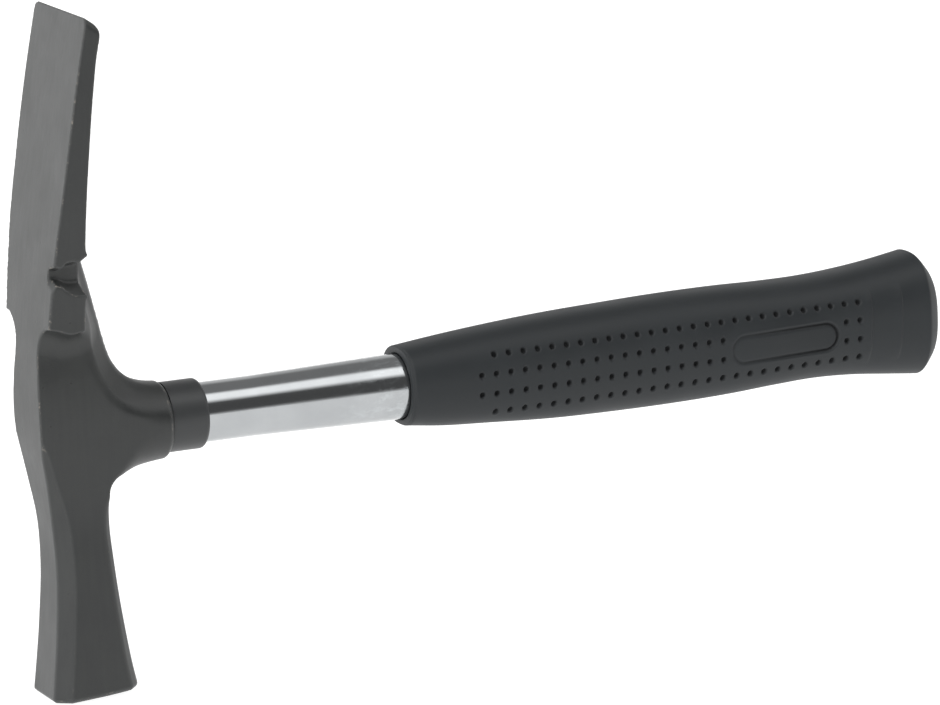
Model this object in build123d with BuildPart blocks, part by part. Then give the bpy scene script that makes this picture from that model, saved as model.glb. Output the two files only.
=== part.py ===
from build123d import *
from math import radians, tan
import os

# Brick hammer: a one-piece forged head with a cutting blade above and a square pen below, on a chromed
# tube with a moulded grip. Millimetres. The origin is the centre of the striking face, +Z runs up the head
# to the blade and +X runs along the handle to its end. The nail notch is in the -Y side of the blade.

# Heights on the head, from the centre of the striking face
HANDLE_AXIS_Z = 76.15
NECK_Z = 50.4
SHOULDER_Z = 104.6
LUG_BOTTOM_Z = 110.0
NOTCH_Z = 124.6
BLADE_TIP_Z = 196.0

# Widths, edges and the face of the head
BLADE_HALF_WIDTH = 20.3
LUG_HALF_WIDTH = 17.6
WEB_HALF_WIDTH = 6.4
WEB_RADIUS = 13.0
FACE_TILT = 3.5
FACE_FRONT_X = -12.95
FACE_BACK_X = 12.9
FACE_BEVEL = 1.2
OVERSHOOT = 3.0

# Socket, along the handle axis
BORE_BOTTOM_X = -8.0
BORE_FLARE_X = 4.0
SOCKET_END_X = 27.0
SOCKET_RADIUS = 11.1
SOCKET_DROP = 0.45
SOCKET_CHAMFER = 0.8
SPIGOT_LENGTH = 4.0
SPIGOT_RADIUS = 9.4

# Handle tube and the pieces at its two ends
TUBE_WALL = 1.5
TUBE_RADIUS = 8.7
TUBE_FLARE_RADIUS = 9.2
TUBE_REAR_RADIUS = 9.6
TAPER_START_X = 54.0
TAPER_END_X = 97.0
TUBE_END_X = 268.0
PLUG_START_X = 256.0
PLUG_FLANGE = 2.0

# Collar
COLLAR_END_X = 38.2
COLLAR_RADIUS = 10.15
COLLAR_ROUNDING = 1.3

# Grip
GRIP_START_X = 100.3
GRIP_LIP_X = 267.5
GRIP_END_X = 274.5
GRIP_CORNER = 0.86
PAD_CENTRE_X = 219.6
PAD_RISE = 0.75
PAD_LENGTH = 35.8
PAD_HEIGHT = 8.9
PAD_FACE_Y = 14.3
PAD_GROOVE_WIDTH = 1.0
PAD_GROOVE_DEPTH = 0.8

# The pen from the striking face up: height, front x, back x, half width, corner chamfer. The chamfer runs
# out below the handle, where its value passes zero.
PEN_STATIONS = [
    (-OVERSHOOT, -13.3, 13.5, 12.4, 4.1),
    (20.4, -10.5, 9.6, 11.6, 4.05),
    (38.4, -9.45, 7.75, 10.75, 3.95),
    (NECK_Z, -9.95, 7.1, 10.2, 3.7),
    (62.4, -11.4, 7.3, 10.5, 2.2),
    (78.0, -13.4, 8.0, 10.8, -0.4),
]

# The body that sweeps back into the socket: x, underside, top, half width, corner radius
SOCKET_Z = HANDLE_AXIS_Z - SOCKET_DROP
BODY_STATIONS = [
    (-3.0, 58.5, 104.0, 9.0, 3.0),
    (4.0, 59.6, 102.5, 10.3, 4.5),
    (8.6, 60.8, 100.0, 10.8, 6.0),
    (13.2, 62.0, 93.4, 11.0, 8.5),
    (18.0, 63.5, 88.6, 11.05, 10.5),
    (SOCKET_END_X - SOCKET_CHAMFER, SOCKET_Z - SOCKET_RADIUS, SOCKET_Z + SOCKET_RADIUS, SOCKET_RADIUS, 11.0),
]

# The gusset up the back of the blade: height, crest x, half width, corner radius
GUSSET_ROOT_X = -4.0
GUSSET_STATIONS = [
    (90.0, 12.0, 9.0, 4.0),
    (101.4, 10.0, 9.0, 4.0),
    (112.0, 7.6, 8.2, 3.8),
    (124.0, 4.8, 6.6, 3.0),
    (144.0, 0.2, 3.4, 1.2),
]

# The nail notch from the front of the blade to its back: x, upper lip, lower lip, depth
NOTCH_STATIONS = [
    (-14.0, 127.0, 122.4, 4.6),
    (2.0, 129.2, 117.6, 6.8),
]

# The grip from its front end back: x, top above the handle axis, underside below it, half width
GRIP_STATIONS = [
    (GRIP_START_X, 11.6, 10.9, 11.5),
    (112.0, 12.9, 12.3, 12.3),
    (127.0, 14.3, 13.3, 13.1),
    (147.0, 15.7, 14.6, 13.8),
    (166.0, 16.5, 15.0, 14.1),
    (186.0, 17.1, 15.0, 14.3),
    (205.0, 17.2, 14.6, 14.4),
    (PAD_CENTRE_X, 16.9, 13.8, PAD_FACE_Y),
    (233.0, 17.0, 13.35, PAD_FACE_Y),
    (247.0, 18.0, 13.8, 14.3),
    (GRIP_LIP_X, 20.9, 15.9, 15.0),
]
GRIP_END_STATIONS = [
    (GRIP_LIP_X, 20.9, 15.9, 15.0),
    (271.9, 14.8, 12.5, 11.4),
    (GRIP_END_X, 7.8, 7.0, 6.5),
]

HANDLE_AXIS = Axis((0, 0, HANDLE_AXIS_Z), (1, 0, 0))

os.makedirs("parts", exist_ok=True)


def corner_cutter_section(height, corner_x, corner_y, cut):
    """Triangle outside a 45 degree line that takes `cut` off both sides of a corner."""
    out_x = 6.0 if corner_x > 0 else -6.0
    out_y = 6.0 if corner_y > 0 else -6.0
    cut_x = cut if corner_x > 0 else -cut
    cut_y = cut if corner_y > 0 else -cut
    with BuildSketch(Plane.XY.offset(height)) as section:
        with BuildLine():
            Polyline(
                (corner_x + out_x, corner_y + out_y),
                (corner_x - cut_x - out_x, corner_y + out_y),
                (corner_x + out_x, corner_y - cut_y - out_y),
                close=True,
            )
        make_face()
    return section.sketch.face()


def rounded_section(x, low, high, half_width, radius):
    """Rounded rectangle across the handle axis at x."""
    with BuildSketch(Plane.YZ.offset(x)) as section:
        with Locations((0, (low + high) / 2)):
            RectangleRounded(2 * half_width, high - low, radius)
    return section.sketch.face()


def gusset_section(height, crest_x, half_width, radius):
    """Section of the gusset, from inside the blade out to its crest."""
    with BuildSketch(Plane.XY.offset(height)) as section:
        with Locations(((GUSSET_ROOT_X + crest_x) / 2, 0)):
            RectangleRounded(crest_x - GUSSET_ROOT_X, 2 * half_width, radius)
    return section.sketch.face()


def notch_section(x, upper_z, lower_z, depth):
    """Section of the nail notch: a V that opens at the blade's -Y side and widens beyond it."""
    mouth_y = -LUG_HALF_WIDTH - 1.4
    beyond = 1.6
    with BuildSketch(Plane.YZ.offset(x)) as section:
        with BuildLine():
            Polyline(
                (mouth_y + depth, NOTCH_Z),
                (mouth_y - beyond * depth, upper_z + beyond * (upper_z - NOTCH_Z)),
                (mouth_y - beyond * depth, lower_z + beyond * (lower_z - NOTCH_Z)),
                close=True,
            )
        make_face()
    return section.sketch.face()


def grip_section(x, above, below, half_width):
    """Section of the grip: flat-sided, with its top and underside rounded."""
    low, high = HANDLE_AXIS_Z - below, HANDLE_AXIS_Z + above
    return rounded_section(x, low, high, half_width, GRIP_CORNER * half_width)


# ------------------------------------------------------------------------------------------ forged head

with BuildPart() as hammer_head:
    # Side view of the blade, the core of the body and the pen
    with BuildSketch(Plane.XZ):
        with BuildLine():
            Spline(
                (2.4, BLADE_TIP_Z),
                (-1.55, 176.4),
                (-5.85, 152.4),
                (-9.8, 128.4),
                (-12.4, 104.4),
                (-13.5, 82.4),
                (-11.4, 62.4),
                (-9.45, 38.4),
                (-10.5, 20.4),
                (FACE_FRONT_X, FACE_FRONT_X * tan(radians(FACE_TILT))),
            )
            ThreePointArc((2.4, BLADE_TIP_Z), (4.9, 194.2), (5.95, 190.6))
            Spline(
                (5.95, 190.6),
                (3.45, 177.3),
                (1.1, 157.8),
                (-0.55, 138.0),
                (-1.3, LUG_BOTTOM_Z),
            )
            Polyline((-1.3, LUG_BOTTOM_Z), (4.0, SHOULDER_Z - OVERSHOOT), (7.3, 62.4))
            Spline(
                (7.3, 62.4),
                (7.1, NECK_Z),
                (7.75, 38.4),
                (9.6, 20.4),
                (FACE_BACK_X, FACE_BACK_X * tan(radians(FACE_TILT))),
            )
            Line(
                (FACE_BACK_X, FACE_BACK_X * tan(radians(FACE_TILT))),
                (FACE_FRONT_X, FACE_FRONT_X * tan(radians(FACE_TILT))),
            )
        make_face()
    extrude(amount=BLADE_HALF_WIDTH + OVERSHOOT, both=True)

    # Front view: blade, shoulders, waist and flared pen
    with BuildSketch(Plane.YZ):
        with BuildLine():
            Line((0, BLADE_TIP_Z + OVERSHOOT), (BLADE_HALF_WIDTH, BLADE_TIP_Z + OVERSHOOT))
            Spline(
                (BLADE_HALF_WIDTH, BLADE_TIP_Z + OVERSHOOT),
                (BLADE_HALF_WIDTH, 152.4),
                (18.9, 128.4),
                (LUG_HALF_WIDTH, LUG_BOTTOM_Z),
            )
            Spline((LUG_HALF_WIDTH, LUG_BOTTOM_Z), (12.2, 107.6), (9.6, SHOULDER_Z), (9.3, 98.4))
            Spline((9.3, 98.4), (10.8, 82.4), (10.2, NECK_Z), (11.6, 20.4), (12.4, -OVERSHOOT))
            Line((12.4, -OVERSHOOT), (0, -OVERSHOOT))
            mirror(about=Plane.YZ)
        make_face()
    extrude(amount=40, both=True, mode=Mode.INTERSECT)

    # Chamfered corners of the pen
    for side in (-1, 1):
        loft(
            [
                corner_cutter_section(z, front, side * width, cut)
                for z, front, back, width, cut in PEN_STATIONS
            ],
            mode=Mode.SUBTRACT,
        )
        loft(
            [
                corner_cutter_section(z, back, side * width, cut)
                for z, front, back, width, cut in PEN_STATIONS
            ],
            mode=Mode.SUBTRACT,
        )

    # Body that sweeps back into the round socket, and the gusset up the back of the blade
    loft([rounded_section(*station) for station in BODY_STATIONS])
    end_radius = SOCKET_RADIUS - SOCKET_CHAMFER
    end_section = (SOCKET_END_X, SOCKET_Z - end_radius, SOCKET_Z + end_radius, end_radius, end_radius - 0.1)
    loft([rounded_section(*BODY_STATIONS[-1]), rounded_section(*end_section)], ruled=True)
    loft([gusset_section(*station) for station in GUSSET_STATIONS])

    # Web that fills the corner between the pen's back and the underside of the socket
    with BuildSketch(Plane.XZ):
        with BuildLine():
            Polyline((7.2, 49.0), (2.0, 49.0), (2.0, 70.0), (16.5, 70.0), (16.5, 63.2))
            RadiusArc((16.5, 63.2), (7.2, 49.0), -WEB_RADIUS)
        make_face()
    extrude(amount=WEB_HALF_WIDTH, both=True)

    # Nail notch
    loft([notch_section(*station) for station in NOTCH_STATIONS], mode=Mode.SUBTRACT)

    # Blind bore: a mouth for the collar's spigot, a straight run, and a flare that locks the opened tube
    with BuildSketch(Plane.XZ):
        with BuildLine():
            Polyline(
                (BORE_BOTTOM_X, HANDLE_AXIS_Z),
                (BORE_BOTTOM_X, HANDLE_AXIS_Z + TUBE_FLARE_RADIUS),
                (BORE_FLARE_X, HANDLE_AXIS_Z + TUBE_RADIUS),
                (SOCKET_END_X - SPIGOT_LENGTH, HANDLE_AXIS_Z + TUBE_RADIUS),
                (SOCKET_END_X - SPIGOT_LENGTH, HANDLE_AXIS_Z + SPIGOT_RADIUS),
                (SOCKET_END_X, HANDLE_AXIS_Z + SPIGOT_RADIUS),
                (SOCKET_END_X, HANDLE_AXIS_Z),
                close=True,
            )
        make_face()
    revolve(axis=HANDLE_AXIS, mode=Mode.SUBTRACT)

    # Bevel round the striking face
    striking_face = hammer_head.faces().sort_by(Axis.Z)[0]
    chamfer(striking_face.edges(), length=FACE_BEVEL)
hammer_head.part.label = "hammer_head"

# --------------------------------------------------------------------------------- tube and its two ends

with BuildPart() as handle_tube:
    with BuildSketch(Plane.XZ):
        with BuildLine():
            Polyline(
                (BORE_BOTTOM_X, HANDLE_AXIS_Z + TUBE_FLARE_RADIUS),
                (BORE_FLARE_X, HANDLE_AXIS_Z + TUBE_RADIUS),
                (TAPER_START_X, HANDLE_AXIS_Z + TUBE_RADIUS),
                (TAPER_END_X, HANDLE_AXIS_Z + TUBE_REAR_RADIUS),
                (TUBE_END_X, HANDLE_AXIS_Z + TUBE_REAR_RADIUS),
                (TUBE_END_X, HANDLE_AXIS_Z + TUBE_REAR_RADIUS - TUBE_WALL),
                (TAPER_END_X, HANDLE_AXIS_Z + TUBE_REAR_RADIUS - TUBE_WALL),
                (TAPER_START_X, HANDLE_AXIS_Z + TUBE_RADIUS - TUBE_WALL),
                (BORE_FLARE_X, HANDLE_AXIS_Z + TUBE_RADIUS - TUBE_WALL),
                (BORE_BOTTOM_X, HANDLE_AXIS_Z + TUBE_FLARE_RADIUS - TUBE_WALL),
                close=True,
            )
        make_face()
    revolve(axis=HANDLE_AXIS)
handle_tube.part.label = "handle_tube"

# Steel taper plug that holds the tube's front end open in the flare of the bore
with BuildPart() as expander_cone:
    with BuildSketch(Plane.XZ):
        with BuildLine():
            Polyline(
                (BORE_BOTTOM_X, HANDLE_AXIS_Z),
                (BORE_BOTTOM_X, HANDLE_AXIS_Z + TUBE_FLARE_RADIUS - TUBE_WALL),
                (BORE_FLARE_X, HANDLE_AXIS_Z + TUBE_RADIUS - TUBE_WALL),
                (BORE_FLARE_X, HANDLE_AXIS_Z),
                close=True,
            )
        make_face()
    revolve(axis=HANDLE_AXIS)
expander_cone.part.label = "expander_cone"

# Flanged plastic plug in the tube's rear end
with BuildPart() as tube_end_plug:
    with BuildSketch(Plane.XZ):
        with BuildLine():
            Polyline(
                (PLUG_START_X, HANDLE_AXIS_Z),
                (PLUG_START_X, HANDLE_AXIS_Z + TUBE_REAR_RADIUS - TUBE_WALL),
                (TUBE_END_X, HANDLE_AXIS_Z + TUBE_REAR_RADIUS - TUBE_WALL),
                (TUBE_END_X, HANDLE_AXIS_Z + TUBE_REAR_RADIUS),
                (TUBE_END_X + PLUG_FLANGE, HANDLE_AXIS_Z + TUBE_REAR_RADIUS),
                (TUBE_END_X + PLUG_FLANGE, HANDLE_AXIS_Z),
                close=True,
            )
        make_face()
    revolve(axis=HANDLE_AXIS)
tube_end_plug.part.label = "tube_end_plug"

# ------------------------------------------------------------------------------------------------ collar

with BuildPart() as collar_bush:
    with BuildSketch(Plane.XZ):
        with BuildLine():
            Polyline(
                (SOCKET_END_X - SPIGOT_LENGTH, HANDLE_AXIS_Z + TUBE_RADIUS),
                (SOCKET_END_X - SPIGOT_LENGTH, HANDLE_AXIS_Z + SPIGOT_RADIUS),
                (SOCKET_END_X, HANDLE_AXIS_Z + SPIGOT_RADIUS),
                (SOCKET_END_X, HANDLE_AXIS_Z + COLLAR_RADIUS),
                (COLLAR_END_X, HANDLE_AXIS_Z + COLLAR_RADIUS),
                (COLLAR_END_X, HANDLE_AXIS_Z + TUBE_RADIUS),
                close=True,
            )
        make_face()
    revolve(axis=HANDLE_AXIS)
    rear_rim = collar_bush.edges().filter_by(GeomType.CIRCLE).group_by(Axis.X)[-1].sort_by(SortBy.RADIUS)[-1]
    fillet(rear_rim, radius=COLLAR_ROUNDING)
collar_bush.part.label = "collar_bush"

# -------------------------------------------------------------------------------------------------- grip

with BuildPart() as grip_sleeve:
    loft([grip_section(*station) for station in GRIP_STATIONS])
    loft([grip_section(*station) for station in GRIP_END_STATIONS])

    # Groove round the oblong pad on each side
    for side in (-1, 1):
        with BuildSketch(Plane.XZ.offset(-side * PAD_FACE_Y)):
            with Locations((PAD_CENTRE_X, HANDLE_AXIS_Z + PAD_RISE)):
                SlotOverall(PAD_LENGTH, PAD_HEIGHT)
                SlotOverall(
                    PAD_LENGTH - 2 * PAD_GROOVE_WIDTH,
                    PAD_HEIGHT - 2 * PAD_GROOVE_WIDTH,
                    mode=Mode.SUBTRACT,
                )
        extrude(amount=PAD_GROOVE_DEPTH, both=True, mode=Mode.SUBTRACT)

    # Cavity for the tube and the flange of its plug
    with BuildSketch(Plane.YZ.offset(GRIP_START_X)):
        with Locations((0, HANDLE_AXIS_Z)):
            Circle(TUBE_REAR_RADIUS)
    extrude(amount=TUBE_END_X + PLUG_FLANGE - GRIP_START_X, mode=Mode.SUBTRACT)
grip_sleeve.part.label = "grip_sleeve"

for piece in (hammer_head, expander_cone, handle_tube, collar_bush, grip_sleeve, tube_end_plug):
    export_step(piece.part, f"parts/{piece.part.label}.step")
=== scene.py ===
import math

import bpy
import numpy as np
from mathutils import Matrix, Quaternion, Vector


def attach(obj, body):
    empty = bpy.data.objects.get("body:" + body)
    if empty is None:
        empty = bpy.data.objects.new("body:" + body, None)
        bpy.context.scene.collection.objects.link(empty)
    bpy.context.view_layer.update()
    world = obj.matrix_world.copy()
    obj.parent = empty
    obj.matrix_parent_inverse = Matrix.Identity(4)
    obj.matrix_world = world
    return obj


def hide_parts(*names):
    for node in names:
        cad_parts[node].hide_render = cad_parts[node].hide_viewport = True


# Brick hammer. Shapes are worked out in millimetres in the row frame and scaled to metres when a mesh is
# made: the origin is the centre of the striking face, +X runs along the handle and +Z up the head.

MM = 0.001
HANDLE_Z = 76.15

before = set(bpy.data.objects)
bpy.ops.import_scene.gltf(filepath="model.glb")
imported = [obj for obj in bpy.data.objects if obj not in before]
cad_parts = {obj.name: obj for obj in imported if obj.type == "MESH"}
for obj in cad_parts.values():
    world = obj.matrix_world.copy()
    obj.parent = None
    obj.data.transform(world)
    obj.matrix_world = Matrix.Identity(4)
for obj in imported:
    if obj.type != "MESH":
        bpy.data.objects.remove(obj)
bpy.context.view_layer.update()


# ------------------------------------------------------------------------------------------ mesh helpers


def curve(*points):
    """Smooth function through (position, value) points, held level beyond its ends."""
    pos, val = np.array(sorted(points), float).T
    slope = np.gradient(val, pos)

    def at(p):
        p = np.clip(p, pos[0], pos[-1])
        i = np.clip(np.searchsorted(pos, p) - 1, 0, len(pos) - 2)
        h = pos[i + 1] - pos[i]
        t = (p - pos[i]) / h
        return (
            (2 * t**3 - 3 * t**2 + 1) * val[i]
            + (t**3 - 2 * t**2 + t) * h * slope[i]
            + (3 * t**2 - 2 * t**3) * val[i + 1]
            + (t**3 - t**2) * h * slope[i + 1]
        )

    return at


def mesh_object(name, points_mm, faces):
    """A smooth-shaded mesh object from points in millimetres and a list of faces."""
    mesh = bpy.data.meshes.new(name)
    mesh.from_pydata((np.asarray(points_mm) * MM).tolist(), [], faces)
    mesh.update()
    mesh.shade_smooth()
    piece = bpy.data.objects.new(name, mesh)
    bpy.context.scene.collection.objects.link(piece)
    return piece


def both(a, b, r):
    """Field of what is inside a and b, with a rounding of radius r where they meet."""
    return np.minimum(-r, np.maximum(a, b)) + np.hypot(np.maximum(r + a, 0), np.maximum(r + b, 0))


def either(a, b, r):
    """Field of what is inside a or b, with a fillet of radius r in the corner between them."""
    return -both(-a, -b, r)


def surface_net(field, low, high, step):
    """Quad mesh of the zero surface of field(x, y, z), by dual contouring on a regular grid."""
    axes = [np.arange(l, h + step, step) for l, h in zip(low, high)]
    value = field(*np.meshgrid(*axes, indexing="ij", sparse=True))
    inside = value < 0
    cells = tuple(n - 1 for n in value.shape)

    def corner(array, i, j, k):
        return array[i : i + cells[0], j : j + cells[1], k : k + cells[2]]

    offsets = [(i, j, k) for i in (0, 1) for j in (0, 1) for k in (0, 1)]
    full = sum(corner(inside, *o).astype(np.int8) for o in offsets)
    crossed = (full > 0) & (full < 8)
    place = np.zeros((crossed.sum(), 3))
    count = np.zeros(crossed.sum())
    for axis in range(3):
        for o in offsets:
            if o[axis]:
                continue
            end = tuple(c + (a == axis) for a, c in enumerate(o))
            v0, v1 = corner(value, *o)[crossed], corner(value, *end)[crossed]
            cut = (v0 < 0) != (v1 < 0)
            t = np.where(cut, v0 / np.where(cut, v0 - v1, 1), 0)
            for a in range(3):
                place[:, a] += cut * (o[a] + (t if a == axis else 0))
            count += cut
    index = np.argwhere(crossed)
    points = (index + place / count[:, None]) * step + np.array([ax[0] for ax in axes])
    number = np.full(cells, -1)
    number[crossed] = np.arange(len(index))

    faces = []
    for axis in range(3):
        u, w = (axis + 1) % 3, (axis + 2) % 3
        first = [slice(1, c) for c in cells]
        first[axis] = slice(0, cells[axis])
        second = list(first)
        second[axis] = slice(1, cells[axis] + 1)
        a, b = inside[tuple(first)], inside[tuple(second)]
        at = np.argwhere(a != b) + [0 if i == axis else 1 for i in range(3)]
        outward = a[a != b]
        quad = []
        for du, dw in ((0, 0), (-1, 0), (-1, -1), (0, -1)):
            cell = at.copy()
            cell[:, u] += du
            cell[:, w] += dw
            quad.append(number[tuple(cell.T)])
        quad = np.stack(quad, 1)
        quad[~outward] = quad[~outward, ::-1]
        faces.append(quad)
    faces = np.concatenate(faces)

    for _ in range(4):
        here = field(*points.T)
        e = 0.02
        slope = np.stack(
            [(field(*(points + d).T) - field(*(points - d).T)) / (2 * e) for d in np.eye(3) * e], 1
        )
        move = slope * (here / np.maximum((slope**2).sum(1), 0.2))[:, None]
        points -= np.clip(move, -step / 2, step / 2)
    return points, faces.tolist()


# ------------------------------------------------------------------------------------------ forged head

# Outlines of the forging as functions of height z, or of x along the handle
front_x = curve(
    (-2, -13.05), (20.4, -10.5), (38.4, -9.45), (50.4, -9.95), (62.4, -11.5), (74.4, -13.3), (83, -13.6),
    (104.4, -12.4), (128.4, -9.8), (152.4, -5.85), (176.4, -1.55), (198, 2.85),
)
blade_back_x = curve(
    (104, -1.3), (118, -0.6), (138, -0.1), (157.8, 1.6), (177.3, 4.0), (185, 5.2), (190.6, 6.45), (198, 7.9)
)
pen_back_x = curve((-2, 14.5), (8, 11.7), (20.4, 9.5), (38.4, 7.4), (50.4, 6.6), (62.4, 6.6), (110, 6.6))
crest_z = curve(
    (-5, 166), (-2, 153.5), (0.65, 142), (3.3, 131.5), (5.6, 122.2), (7.55, 114), (9.35, 105.6),
    (10.15, 101.4), (11.2, 97.2), (13.25, 92.9), (15.3, 90.6), (18, 88.8), (21, 87.7), (24.5, 87.0),
    (28, 86.8),
)
underside_z = curve((0, 61.2), (7, 62.3), (14.5, 63.5), (18, 63.9), (22, 64.2), (28, 64.7))
blade_half = curve(
    (104, 17.4), (110, 17.6), (116, 18.1), (128.4, 18.9), (140, 19.8), (152.4, 20.3), (197, 20.35)
)
body_half = curve(
    (-2, 12.4), (20.4, 11.6), (38.4, 10.75), (50.4, 10.15), (62.4, 10.4), (74, 10.75), (82.4, 10.85),
    (92.4, 10.1), (98.4, 9.2), (104, 8.7), (112, 8.2), (124, 6.6), (144, 3.4), (160, 1.2),
)
gusset_half = curve((60, 11.1), (92, 11.0), (101, 9.7), (112, 8.2), (124, 6.6), (144, 3.4), (160, 1.2))
crest_round = curve((-5, 3.0), (0, 4.0), (5, 5.0), (10, 6.5), (14, 8.5), (20, 10.8), (30, 11.0))
crest_chamfer = curve((-5, 6.5), (6, 7.5), (12, 7.6), (17, 7.0), (22, 6.3), (30, 6.2))
under_round = curve((-20, 0.7), (7, 0.8), (10, 2.6), (13, 5.8), (16, 8.6), (21, 10.7), (30, 11.0))
front_chamfer = curve(
    (-2, 4.1), (20.4, 4.05), (38.4, 3.95), (50.4, 3.7), (62.4, 2.2), (76, -0.2), (84, -6), (100, -50),
    (198, -60),
)
back_chamfer = curve((-2, 3.7), (8, 2.9), (20, 2.4), (38, 2.1), (50, 1.9), (56, 0.9), (61, -2), (90, -40))
shoulder_round = curve((90, 8.0), (110, 8.0), (117, 4.5), (125, 3.0), (198, 2.5))

BLADE_TOP_Z = 196.3
BLADE_TOP_SLOPE = 0.62
LUG_BOTTOM_Z = 108.5
LUG_BOTTOM_SLOPE = 0.13
SOCKET_END_X = 27.0
SOCKET_END_CHAMFER = 1.1
BORE_RADIUS = 8.75
BORE_BOTTOM_X = -8
MOUTH_RADIUS = 9.45
MOUTH_BOTTOM_X = 23
FACE_TILT = math.radians(3.5)
FACE_CHAMFER = 1.0
CREST_BLEND = 1.5

# The nail slot: its middle and the side that it opens to, the heights of its lips on that side, the depth
# of its inner wall, and the depth at which its lips would meet, all along x
NOTCH_Z = 124.6
NOTCH_SIDE_Y = 19
notch_upper_z = curve(
    (-15, 127.4), (-9.9, 127.4), (-7.6, 126.8), (-6.4, 127.9), (-5.0, 128.2), (-2.2, 128.1), (-0.4, 129.2),
    (3, 130.6),
)
notch_lower_z = curve(
    (-15, 122.0), (-10.4, 121.6), (-8.6, 121.3), (-7.6, 120.9), (-6.6, 119.8), (-5.4, 118.8), (-3.6, 118.1),
    (3, 117.6),
)
notch_depth = curve((-14, 4.3), (-11, 4.4), (-6, 5.6), (2, 7.6))
notch_apex = curve((-14, 7.4), (-11, 7.8), (-6, 11.5), (2, 15))


def distance_below(outline, low, high):
    """Distance in the x-z plane from a curve, negative below it, as a function read off a fine grid."""
    line = np.linspace(low, high, 400)
    step = 0.5
    xs, zs = np.arange(-17, 31, step), np.arange(-5, 201, step)
    gap = np.full((len(xs), len(zs)), 1e6)
    for px, pz in zip(line, outline(line)):
        gap = np.minimum(gap, np.hypot(xs[:, None] - px, zs[None, :] - pz))
    gap *= np.where(zs[None, :] > outline(xs)[:, None], 1, -1)

    def at(x, z):
        i = np.clip((x - xs[0]) / step, 0, len(xs) - 1.001)
        k = np.clip((z - zs[0]) / step, 0, len(zs) - 1.001)
        i0, k0 = i.astype(int), k.astype(int)
        u, w = i - i0, k - k0
        low_side = gap[i0, k0] * (1 - w) + gap[i0, k0 + 1] * w
        high_side = gap[i0 + 1, k0] * (1 - w) + gap[i0 + 1, k0 + 1] * w
        return low_side * (1 - u) + high_side * u

    return at


above_crest = distance_below(crest_z, -5, 30)
above_underside = distance_below(underside_z, -15, 30)


def bump(value, centre, width):
    """A soft rise of height one."""
    return np.exp(-(((value - centre) / width) ** 2))


def blade_field(x, y, z):
    """The cutting blade behind its front face, rounded at the edge on top, with burrs at the nail slot."""
    burr = (0.5 * bump(z, 129.4, 1.1) + 0.45 * bump(z, 117.6, 0.9)) * np.clip((-13 - y) / 4, 0, 1)
    slab = both(np.abs(y) - blade_half(z), (x - blade_back_x(z) - burr) * 0.98, 0.5)
    tip = (z - BLADE_TOP_Z) * math.cos(BLADE_TOP_SLOPE) + (x - 2.4) * math.sin(BLADE_TOP_SLOPE)
    bottom = LUG_BOTTOM_Z - LUG_BOTTOM_SLOPE * (x + 7) - 1.1 * bump(x, -5.5, 3.2)
    return both(both(slab, tip, 2.4), bottom - z, 0.5)


def core_field(x, y, z):
    """The pen, the body and the gusset that sweeps from the blade's back down into the round socket."""
    turn = np.clip((x - 1) / 15, 0, 1)
    turn = turn * turn * (3 - 2 * turn)
    side = np.abs(y) - body_half(z) - (gusset_half(z) - body_half(z)) * turn
    corner = either((x - pen_back_x(z)) * 0.99, -above_underside(x, z), 3.8)
    solid = both(corner, side, under_round(x))
    solid = both(solid, (corner + side + back_chamfer(z)) / math.sqrt(2), 0.5)
    crest = above_crest(x, z)
    edge = np.minimum(crest_round(x), 0.96 * gusset_half(z))
    solid = both(solid, crest, edge)
    cut = np.minimum(crest_chamfer(x), 0.9 * gusset_half(z))
    return both(solid, (crest + side + cut) / math.sqrt(2), CREST_BLEND)


def notch_field(x, y, z):
    """The nail slot above the near lug: two ragged sloping sides and a flat inner wall."""
    apex = notch_apex(x)
    out = (apex - NOTCH_SIDE_Y - y) / apex
    upper = (z - NOTCH_Z - (notch_upper_z(x) - NOTCH_Z) * out) * 0.85
    lower = (NOTCH_Z - z - (NOTCH_Z - notch_lower_z(x)) * out) * 0.8
    flared = lower - np.clip((-9.4 - x) * 1.1, 0, 1.8)
    return both(both(upper, flared, 0.25), y + NOTCH_SIDE_Y - notch_depth(x), 0.7)


def head_field(x, y, z):
    """The whole forging. The front corners of the lugs are rounded more than the others, and unevenly."""
    lug = np.clip((np.abs(y) - 13) / 3, 0, 1) * np.clip((z - 104) / 3, 0, 1) * np.clip((134 - z) / 6, 0, 1)
    uneven = np.sin(1.1 * z + 0.6) * np.sin(2.3 * z + 0.9 * y)
    front = (front_x(z) - x) * 0.985
    head = either(blade_field(x, y, z), core_field(x, y, z), shoulder_round(z))
    head = both(head, front, 0.42 + lug * (0.3 + 0.3 * uneven))
    side = np.abs(y) - body_half(z)
    head = both(head, (front + side + front_chamfer(z)) / math.sqrt(2), 0.4)
    end = x - SOCKET_END_X
    head = both(both(head, end, 0.25), (head + end + SOCKET_END_CHAMFER) / math.sqrt(2), 0.3)
    face = x * math.sin(FACE_TILT) - z * math.cos(FACE_TILT)
    head = both(both(head, face, 0.2), (head + face + FACE_CHAMFER) / math.sqrt(2), 0.2)
    head = both(head, -notch_field(x, y, z), 0.15)
    from_axis = np.hypot(y, z - HANDLE_Z)
    bore = np.maximum(from_axis - BORE_RADIUS, BORE_BOTTOM_X - x)
    mouth = np.maximum(from_axis - MOUTH_RADIUS, MOUTH_BOTTOM_X - x)
    return both(head, -np.minimum(bore, mouth), 0.15)


HEAD_STEP = 0.5
WEAR_REACH = 0.6


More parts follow.
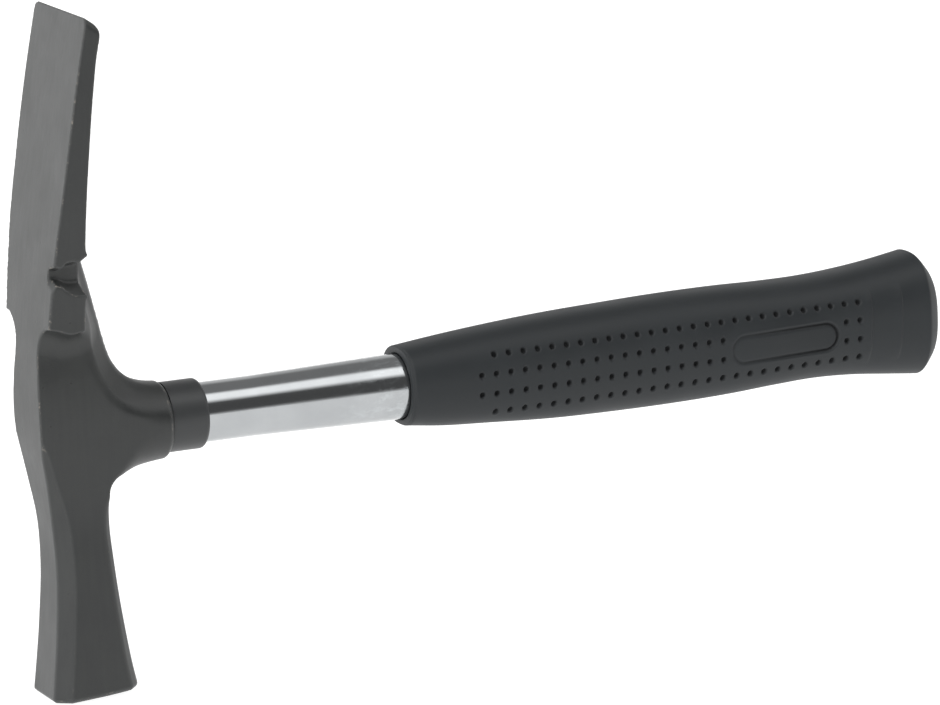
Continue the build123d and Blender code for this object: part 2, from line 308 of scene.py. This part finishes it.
def make_head():
    """The forging's mesh. Its attribute wear is how sharply the surface turns, most on the lugs."""
    points, faces = surface_net(head_field, (-15, -22, -3), (28.5, 22, 198), HEAD_STEP)
    head = mesh_object("forged_head", points, faces)
    spread = sum(
        head_field(*(points + d).T) + head_field(*(points - d).T) for d in np.eye(3) * WEAR_REACH
    ) - 6 * head_field(*points.T)
    on_lug = (np.abs(points[:, 1]) > 12) & (points[:, 2] > 106) & (points[:, 2] < 132)
    spread = np.clip(spread / WEAR_REACH, 0, 1) * np.where(on_lug, 1.0, 0.72)
    wear = head.data.attributes.new("wear", "FLOAT", "POINT")
    wear.data.foreach_set("value", spread.astype(np.float32))
    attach(head, "root")
    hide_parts("hammer_head")
    return head


head = make_head()


# ------------------------------------------------------------------------------------------------- grip

GRIP_START_X = 100.3
GRIP_RIM = 0.6
GRIP_LIP_X = 267.9
TUBE_HOLE = 9.62

# Reach of the grip's section above, below and to each side of the handle's axis, along x
grip_top = curve(
    (96, 11.1), (100.3, 11.6), (112, 12.9), (127, 14.3), (147, 15.7), (166, 16.5), (186, 17.1), (205, 17.2),
    (220.5, 16.9), (233, 17.0), (247, 18.0), (258, 19.35), (267.5, 20.9), (276, 22.4),
)
grip_below = curve(
    (96, 10.9), (100.3, 11.3), (112, 12.7), (127, 13.7), (147, 14.9), (166, 15.3), (186, 15.3), (205, 14.8),
    (220.5, 13.9), (233, 13.45), (247, 14.1), (258, 15.3), (267.9, 16.4), (276, 17.2),
)
grip_half = curve(
    (96, 11.2), (100.3, 11.5), (112, 12.3), (127, 13.1), (147, 13.8), (166, 14.1), (186, 14.3), (205, 14.4),
    (233, 14.3), (247, 14.3), (267.5, 15.0), (276, 15.5),
)

# What is left of the section's size behind the lip, where the end domes over
dome = curve(
    (267.9, 1.0), (268.3, 0.987), (269.3, 0.935), (270.8, 0.845), (271.8, 0.78), (272.5, 0.72), (273.1, 0.63),
    (273.6, 0.52), (274.0, 0.4), (274.3, 0.25), (274.5, 0.0),
)

DIMPLE_PITCH = 4.55
DIMPLE_X = 126.2
DIMPLE_RADIUS = 0.92
DIMPLE_DEPTH = 1.05
DIMPLE_REACH = 1.15
LAST_DIMPLE = 26

# Height of each row at the front and the back of the dimpled area, above the handle's axis
DIMPLE_ROWS = ((8.5, 10.2), (3.0, 4.9), (-2.9, -0.75), (-8.65, -6.35))

PAD_CENTRE_X = 219.6
PAD_Z = 0.8
PAD_SLOPE = 0.02
PAD_HALF_LENGTH = 17.2
PAD_HALF_HEIGHT = 3.85

BANDS_X = (248.3, 258.3)
BAND_HEIGHT = 0.5


def grip_section(x, side):
    """The y and z of the section at x: side runs 0..1 round it from the -Y side's middle over the top."""
    angle = 2 * math.pi * side
    power = 0.8
    across = np.abs(np.cos(angle)) ** power * np.sign(np.cos(angle))
    up = np.abs(np.sin(angle)) ** power * np.sign(np.sin(angle))
    held = np.minimum(x, GRIP_LIP_X)
    lip = np.where(x > GRIP_LIP_X, dome(x), 1.0)
    top, below, half = grip_top(held), grip_below(held), grip_half(held)
    middle = (top - below) / 2 * lip**0.5
    return -half * lip * across, HANDLE_Z + middle + (top + below) / 2 * lip * up


def spaced(low, high, step):
    """Even places from low up to high, without high, about a step apart."""
    return list(np.linspace(low, high, max(2, int(round((high - low) / step)) + 1)))[:-1]


def grip_stations():
    """Positions along the grip, close together at the dimples, the pad and the bands."""
    coarse = 1
    along = spaced(100.9, 119.2, 1.0 * coarse)
    x = 119.2
    while x < 201.0:
        centre = DIMPLE_X + DIMPLE_PITCH * round((x + 1.5 - DIMPLE_X) / DIMPLE_PITCH)
        start = centre - DIMPLE_REACH
        along += spaced(x, start, 0.7 * coarse) if start > x + 0.2 else [x]
        along += spaced(max(x, start), centre + DIMPLE_REACH, 0.22 * coarse)
        x = centre + DIMPLE_REACH
    along += spaced(x, 246.9, 0.33 * coarse)
    for low, high, step in (
        (246.9, 249.6, 0.22), (249.6, 256.9, 0.9), (256.9, 259.4, 0.22), (259.4, 266.4, 0.9),
        (266.4, 268.4, 0.2), (268.4, 273.4, 0.45), (273.4, 274.3, 0.2),
    ):
        along += spaced(low, high, step * coarse)
    return np.array(along + [274.3, 274.42, 274.49])


def grip_sides():
    """Positions round the section, close together on the two sides that carry the dimples."""
    coarse = 1
    quarter = np.array(spaced(0, 0.125, 0.0034 * coarse) + spaced(0.125, 0.25, 0.009 * coarse))
    half = np.concatenate([quarter, [0.25], 0.5 - quarter[:0:-1]])
    return np.concatenate([half, 0.5 + half])


def pad_distance(x, z):
    """Distance outside the oblong pad's edge on the grip's side."""
    up = z - HANDLE_Z - PAD_Z - PAD_SLOPE * (x - PAD_CENTRE_X)
    along = np.maximum(np.abs(x - PAD_CENTRE_X) - (PAD_HALF_LENGTH - PAD_HALF_HEIGHT), 0)
    return np.hypot(along, up) - PAD_HALF_HEIGHT


def grip_relief(x, y, z):
    """How far the grip's skin is sunk, with dimples, the groove round the pad and two moulded bands."""
    flank = np.clip((np.abs(y) - 6.0) / 1.5, 0, 1)
    sunk = np.zeros_like(x)
    for number, (front, back) in enumerate(DIMPLE_ROWS):
        column = np.round((x - DIMPLE_X) / DIMPLE_PITCH)
        column = np.clip(column, -1 if number in (1, 2) else 0, LAST_DIMPLE)
        centre = DIMPLE_X + DIMPLE_PITCH * column
        if number in (1, 2):
            on_pad = np.abs(centre - PAD_CENTRE_X) < PAD_HALF_LENGTH + 2.2
        else:
            on_pad = np.zeros(x.shape, bool)
        row_z = HANDLE_Z + front + (back - front) * (centre - DIMPLE_X) / (LAST_DIMPLE * DIMPLE_PITCH)
        reach = np.hypot(x - centre, z - row_z) / DIMPLE_RADIUS
        bowl = DIMPLE_DEPTH * np.clip(1 - reach**3, 0, 1) ** 0.7
        sunk += np.where(on_pad, 0, bowl)
        sunk -= np.where(on_pad, 0, 0.05 * bump(reach, 1.25, 0.22))
    edge = pad_distance(x, z)
    back_end = np.clip((x - PAD_CENTRE_X) / PAD_HALF_LENGTH, -1, 1)
    sunk += (0.65 + 0.3 * back_end) * bump(edge, 0.15, 0.4) - 0.05 * bump(edge, 1.0, 0.4)
    sunk += np.where(edge < 0, 0.12 + 0.1 * back_end, 0) * np.clip(-edge / 0.6, 0, 1)
    band_reach = np.clip((11.5 - np.abs(z - HANDLE_Z - 2.5)) / 4, 0, 1)
    for centre in BANDS_X:
        past = x - centre - 0.05 * (z - HANDLE_Z)
        step = BAND_HEIGHT * (np.tanh(past / 0.28) - 1) / 2
        sunk += band_reach * step * bump(np.minimum(past, 0), 0, 2.4)
    return sunk * flank


def make_grip():
    """The grip's mesh. Its attribute hollow is how far the skin is sunk, in millimetres."""
    along, sides = grip_stations(), grip_sides()
    x, side = np.meshgrid(along, sides, indexing="ij")
    y, z = grip_section(x, side)
    e = 1e-3
    step_y, step_z = grip_section(x, side + e)
    round_way = np.stack([np.zeros_like(x), step_y - y, step_z - z], -1)
    ahead_y, ahead_z = grip_section(x - e, side)
    long_way = np.stack([np.full_like(x, e), y - ahead_y, z - ahead_z], -1)
    outward = np.cross(long_way, round_way)
    outward /= np.linalg.norm(outward, axis=-1, keepdims=True)
    outward *= np.sign((outward[..., 1] * y + outward[..., 2] * (z - HANDLE_Z)))[..., None]
    sunk = grip_relief(x, y, z)
    points = np.stack([x, y, z], -1) - outward * sunk[..., None]

    # The front end, as rings: a rounded rim, a flat face and the mouth that grips the tube
    outline_y, outline_z = grip_section(np.full_like(sides, GRIP_START_X), sides)
    length = np.hypot(outline_y, outline_z - HANDLE_Z)
    unit = np.stack([outline_y / length, (outline_z - HANDLE_Z) / length], -1)
    rings = []
    for angle in np.linspace(0, math.pi / 2, 6):
        back, inward = GRIP_RIM - GRIP_RIM * math.sin(angle), GRIP_RIM - GRIP_RIM * math.cos(angle)
        rings.append((back, length - inward))
    for back, wider in ((0, 0.6), (0.1, 0.3), (0.4, 0.1), (0.8, -0.01), (8, -0.01)):
        rings.append((back, TUBE_HOLE + wider))
    front = []
    for back, radius in rings:
        at = np.full_like(sides, GRIP_START_X + back)
        front.append(np.stack([at, unit[:, 0] * radius, HANDLE_Z + unit[:, 1] * radius], -1))
    grid = np.concatenate([np.stack(front[::-1]), points])
    rows, columns = grid.shape[:2]
    faces = []
    for i in range(rows - 1):
        for k in range(columns):
            n = (k + 1) % columns
            faces.append((i * columns + k, i * columns + n, (i + 1) * columns + n, (i + 1) * columns + k))
    cloud = grid.reshape(-1, 3)
    faces.append(tuple((rows - 1) * columns + k for k in range(columns)))
    faces.append(tuple(columns - 1 - k for k in range(columns)))
    grip = mesh_object("grip_skin", cloud, faces)
    hollow = grip.data.attributes.new("hollow", "FLOAT", "POINT")
    depth = np.concatenate([np.zeros(len(front) * columns), np.clip(sunk.ravel(), 0, 1)])
    hollow.data.foreach_set("value", depth.astype(np.float32))
    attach(grip, "root")
    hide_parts("grip_sleeve")
    return grip


grip = make_grip()


# -------------------------------------------------------------------------------------------- materials


def material(name, **values):
    """A new material and its nodes, with the given values on its Principled shader."""
    made = bpy.data.materials.new(name)
    made.use_nodes = True
    nodes = made.node_tree.nodes
    shader = nodes["Principled BSDF"]
    for key, value in values.items():
        shader.inputs[key].default_value = value
    return made, nodes, made.node_tree.links, shader


def noise(nodes, links, scale, detail=4.0, stretch=(1, 1, 1), rough=0.6):
    """Noise over the object's own coordinates, which are in metres."""
    where = nodes.new("ShaderNodeTexCoord")
    sized = nodes.new("ShaderNodeMapping")
    sized.inputs["Scale"].default_value = stretch
    links.new(where.outputs["Object"], sized.inputs["Vector"])
    made = nodes.new("ShaderNodeTexNoise")
    made.inputs["Scale"].default_value = scale
    made.inputs["Detail"].default_value = detail
    made.inputs["Roughness"].default_value = rough
    links.new(sized.outputs[0], made.inputs["Vector"])
    return made.outputs[0]


def ranged(nodes, links, source, low, high, to_low, to_high):
    """source mapped from low..high to to_low..to_high and held beyond."""
    made = nodes.new("ShaderNodeMapRange")
    for name, value in (("From Min", low), ("From Max", high), ("To Min", to_low), ("To Max", to_high)):
        made.inputs[name].default_value = value
    links.new(source, made.inputs["Value"])
    return made.outputs[0]


def maths(nodes, links, operation, a, b):
    """Result of an operation on a and b, each a float or the output of a node."""
    made = nodes.new("ShaderNodeMath")
    made.operation = operation
    for socket, value in zip(made.inputs, (a, b)):
        if isinstance(value, float):
            socket.default_value = value
        else:
            links.new(value, socket)
    return made.outputs[0]


def blended(nodes, links, factor, low, high):
    """Colour between low and high, each a colour or the output of a node."""
    made = nodes.new("ShaderNodeMix")
    made.data_type = "RGBA"
    links.new(factor, made.inputs["Factor"])
    for name, value in (("A", low), ("B", high)):
        if isinstance(value, tuple):
            made.inputs[name].default_value = (*value, 1)
        else:
            links.new(value, made.inputs[name])
    return made.outputs["Result"]


def bumped(nodes, links, shader, height, distance, strength=1.0):
    """Give the shader fine relief from the height output."""
    made = nodes.new("ShaderNodeBump")
    made.inputs["Strength"].default_value = strength
    made.inputs["Distance"].default_value = distance
    links.new(height, made.inputs["Height"])
    links.new(made.outputs[0], shader.inputs["Normal"])


def coated_steel():
    """Dark grey coat with fine forging grain, faint streaks down the faces, pits and edges worn bright."""
    made, nodes, links, shader = material("coated_steel")
    patches = noise(nodes, links, 55, 5)
    streaks = noise(nodes, links, 620, 3, (1, 1, 0.06))
    grain = noise(nodes, links, 1900, 3)
    mottled = maths(
        nodes, links, "ADD",
        maths(nodes, links, "MULTIPLY", patches, 0.7),
        maths(nodes, links, "MULTIPLY", streaks, 0.3),
    )
    tone = ranged(nodes, links, mottled, 0.36, 0.64, 0, 1)
    coat = blended(nodes, links, tone, (0.019, 0.0205, 0.0205), (0.028, 0.03, 0.029))

    edge = nodes.new("ShaderNodeAttribute")
    edge.attribute_name = "wear"
    chips = ranged(nodes, links, noise(nodes, links, 480, 5, rough=0.7), 0.55, 0.68, 0, 1)
    worn = maths(nodes, links, "MULTIPLY", ranged(nodes, links, edge.outputs["Fac"], 0.45, 0.9, 0, 1), chips)
    rub = ranged(nodes, links, edge.outputs["Fac"], 0.2, 0.8, 0, 0.3)
    coat = blended(nodes, links, rub, coat, (0.07, 0.073, 0.073))
    scuffs = ranged(nodes, links, noise(nodes, links, 900, 2, (0.25, 1, 1.6), 0.8), 0.77, 0.82, 0, 0.6)
    bare = maths(nodes, links, "MAXIMUM", worn, scuffs)
    colour = blended(nodes, links, bare, coat, (0.3, 0.27, 0.23))
    cells = nodes.new("ShaderNodeTexVoronoi")
    cells.inputs["Scale"].default_value = 210
    place = nodes.new("ShaderNodeTexCoord")
    links.new(place.outputs["Object"], cells.inputs["Vector"])
    pits = ranged(nodes, links, cells.outputs["Distance"], 0.03, 0.075, 1, 0)
    chosen = ranged(nodes, links, noise(nodes, links, 60, 1), 0.52, 0.6, 0, 1)
    pits = maths(nodes, links, "MULTIPLY", pits, chosen)
    colour = blended(nodes, links, maths(nodes, links, "MULTIPLY", pits, 0.75), colour, (0.006, 0.006, 0.006))
    links.new(colour, shader.inputs["Base Color"])
    links.new(ranged(nodes, links, mottled, 0.35, 0.65, 0.36, 0.5), shader.inputs["Roughness"])
    links.new(maths(nodes, links, "MULTIPLY", bare, 0.7), shader.inputs["Metallic"])
    height = maths(nodes, links, "ADD", grain, maths(nodes, links, "MULTIPLY", streaks, 0.35))
    height = maths(nodes, links, "SUBTRACT", height, maths(nodes, links, "MULTIPLY", pits, 3.0))
    bumped(nodes, links, shader, height, 0.00006, 0.55)
    return made


def chrome(name="chrome_plate", tone=0.43, dulled=0.0):
    """Bright plating with drawn streaks along the tube, a few specks and handling haze."""
    made, nodes, links, shader = material(name, Metallic=1.0)
    drawn = noise(nodes, links, 900, 3, (0.03, 1, 1))
    haze = noise(nodes, links, 70, 5)
    specks = ranged(nodes, links, noise(nodes, links, 1100, 3, (0.7, 1, 1), 0.75), 0.7, 0.76, 0, 0.5)
    place = nodes.new("ShaderNodeTexCoord")
    split = nodes.new("ShaderNodeSeparateXYZ")
    links.new(place.outputs["Object"], split.inputs[0])
    scuffed = ranged(nodes, links, split.outputs["X"], 0.075, 0.1, 0.0, 1.0)
    fog = ranged(nodes, links, noise(nodes, links, 420, 6, (0.6, 1, 1), 0.75), 0.5, 0.7, 0, 0.55)
    fog = maths(nodes, links, "MULTIPLY", fog, scuffed)
    marks = maths(nodes, links, "MAXIMUM", specks, fog)
    clear = (tone, tone * 1.03, tone * 1.05)
    hazy = (tone * 0.92, tone * 0.95, tone * 0.97)
    plate = blended(nodes, links, ranged(nodes, links, haze, 0.35, 0.65, 0, 1), clear, hazy)
    links.new(blended(nodes, links, marks, plate, (0.62, 0.66, 0.68)), shader.inputs["Base Color"])
    rough = ranged(nodes, links, haze, 0.3, 0.7, 0.09 + dulled, 0.16 + dulled)
    rough = maths(nodes, links, "ADD", rough, maths(nodes, links, "MULTIPLY", marks, 0.35))
    links.new(rough, shader.inputs["Roughness"])
    bumped(nodes, links, shader, drawn, 0.00001, 0.25)
    return made


def soft_plastic(name, low, high, roughness, grain_scale=2600, depth=0.00004):
    """Moulded plastic skin: fine grain, slight patches of shine, dust lifted, and painted shade darkening the
    hollows.
    """
    made, nodes, links, shader = material(name)
    shader.inputs["Specular IOR Level"].default_value = 0.46
    grain = noise(nodes, links, grain_scale, 2)
    patches = noise(nodes, links, 45, 4)
    colour = blended(nodes, links, ranged(nodes, links, patches, 0.35, 0.65, 0, 1), low, high)
    dust = ranged(nodes, links, noise(nodes, links, 1500, 4, rough=0.8), 0.69, 0.76, 0, 0.25)
    colour = blended(nodes, links, dust, colour, (0.12, 0.12, 0.11))
    sunk = nodes.new("ShaderNodeAttribute")
    sunk.attribute_name = "hollow"
    # Painted shade: the dimples and the groove round the pad are darkened towards near black the deeper the
    # skin is sunk, and made rougher there
    painted_hollow_shade = ranged(nodes, links, sunk.outputs["Fac"], 0.1, 0.8, 0, 0.78)
    colour = blended(nodes, links, painted_hollow_shade, colour, (0.002, 0.002, 0.0025))
    links.new(colour, shader.inputs["Base Color"])
    dull = ranged(nodes, links, patches, 0.3, 0.7, roughness - 0.05, roughness + 0.06)
    dull = maths(nodes, links, "ADD", dull, maths(nodes, links, "MULTIPLY", painted_hollow_shade, 0.4))
    links.new(dull, shader.inputs["Roughness"])
    bumped(nodes, links, shader, grain, depth, 0.5)
    return made


head.data.materials.append(coated_steel())
grip.data.materials.append(soft_plastic("grip_pvc", (0.0093, 0.012, 0.0139), (0.0127, 0.0159, 0.0181), 0.55))
for node, made in (
    ("handle_tube", chrome()),
    ("collar_bush", soft_plastic("collar_plastic", (0.03, 0.032, 0.033), (0.037, 0.039, 0.04), 0.42)),
    ("expander_cone", chrome("cone_steel", 0.4, 0.15)),
    ("tube_end_plug", soft_plastic("plug_plastic", (0.03, 0.03, 0.03), (0.04, 0.04, 0.04), 0.5)),
):
    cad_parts[node].data.materials.clear()
    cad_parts[node].data.materials.append(made)


# ------------------------------------------------------------------------------- floor, light and camera


FLOOR_HALF = 3000
FLOOR_Z = -0.8


def make_floor():
    """A white floor just under the pen's lowest corner, bright by itself so that it shows no edge."""
    corners = [(x * FLOOR_HALF, y * FLOOR_HALF, FLOOR_Z) for x, y in ((-1, -1), (1, -1), (1, 1), (-1, 1))]
    floor = mesh_object("floor", corners, [(0, 1, 2, 3)])
    made, nodes, links, shader = material("floor_white", Roughness=1.0)
    shader.inputs["Base Color"].default_value = (0.3, 0.3, 0.3, 1)
    shader.inputs["Emission Color"].default_value = (1, 1, 1, 1)
    shader.inputs["Emission Strength"].default_value = 0.95
    floor.data.materials.append(made)


def make_world():
    """A white backdrop for the camera, and for light a dim tent with a bar overhead and a wide left side."""
    world = bpy.data.worlds.new("studio")
    bpy.context.scene.world = world
    world.use_nodes = True
    nodes, links = world.node_tree.nodes, world.node_tree.links
    light = nodes["Background"]
    where = nodes.new("ShaderNodeTexCoord")
    split = nodes.new("ShaderNodeSeparateXYZ")
    links.new(where.outputs["Generated"], split.inputs[0])

    # Brightness by the angle round the handle's axis, in degrees upwards from the camera's side
    forward = maths(nodes, links, "MULTIPLY", split.outputs["Y"], -1.0)
    angle = maths(nodes, links, "ARCTAN2", split.outputs["Z"], forward)
    ring = nodes.new("ShaderNodeValToRGB")
    links.new(ranged(nodes, links, angle, -math.pi, math.pi, 0, 1), ring.inputs[0])
    stops = (
        (-180, 0.75), (-2, 0.8), (6, 0.12), (43, 0.12), (57, 1.9), (77, 1.9), (87, 0.31), (132, 0.31),
        (150, 0.8), (180, 1.1),
    )
    while len(ring.color_ramp.elements) < len(stops):
        ring.color_ramp.elements.new(0.5)
    for stop, (degrees, level) in zip(ring.color_ramp.elements, stops):
        stop.position = (degrees + 180) / 360
        stop.color = (level, level, level, 1)

    left = ranged(nodes, links, split.outputs["X"], -0.25, -0.6, 0, 1.35)
    total = nodes.new("ShaderNodeMix")
    total.data_type = "RGBA"
    total.blend_type = "ADD"
    total.inputs["Factor"].default_value = 1.0
    links.new(ring.outputs["Color"], total.inputs["A"])
    links.new(left, total.inputs["B"])
    links.new(total.outputs["Result"], light.inputs["Color"])

    seen = nodes.new("ShaderNodeBackground")
    path = nodes.new("ShaderNodeLightPath")
    choose = nodes.new("ShaderNodeMixShader")
    links.new(path.outputs["Is Camera Ray"], choose.inputs[0])
    links.new(light.outputs[0], choose.inputs[1])
    links.new(seen.outputs[0], choose.inputs[2])
    seen.inputs["Color"].default_value = (1, 1, 1, 1)
    seen.inputs["Strength"].default_value = 1.1
    links.new(choose.outputs[0], nodes["World Output"].inputs["Surface"])


def make_camera():
    """Long lens in front of the notch side, a little above the handle and to the left of the head."""
    azimuth, elevation, roll = math.radians(-23.9), math.radians(12.37), math.radians(-2.03)
    target = Vector((123.7, 0, 83.3)) * MM
    distance = 1723.2 * MM
    level = math.cos(elevation)
    back = Vector((math.sin(azimuth) * level, -math.cos(azimuth) * level, math.sin(elevation)))
    data = bpy.data.cameras.new("camera")
    data.lens = 226.8
    data.clip_end = 50
    camera = bpy.data.objects.new("camera", data)
    camera.rotation_mode = "QUATERNION"
    camera.location = target + back * distance
    camera.rotation_quaternion = (-back).to_track_quat("-Z", "Y") @ Quaternion((0, 0, 1), roll)
    bpy.context.scene.collection.objects.link(camera)
    bpy.context.scene.camera = camera


make_floor()
make_world()
make_camera()
bpy.context.scene.view_settings.view_transform = "Standard"
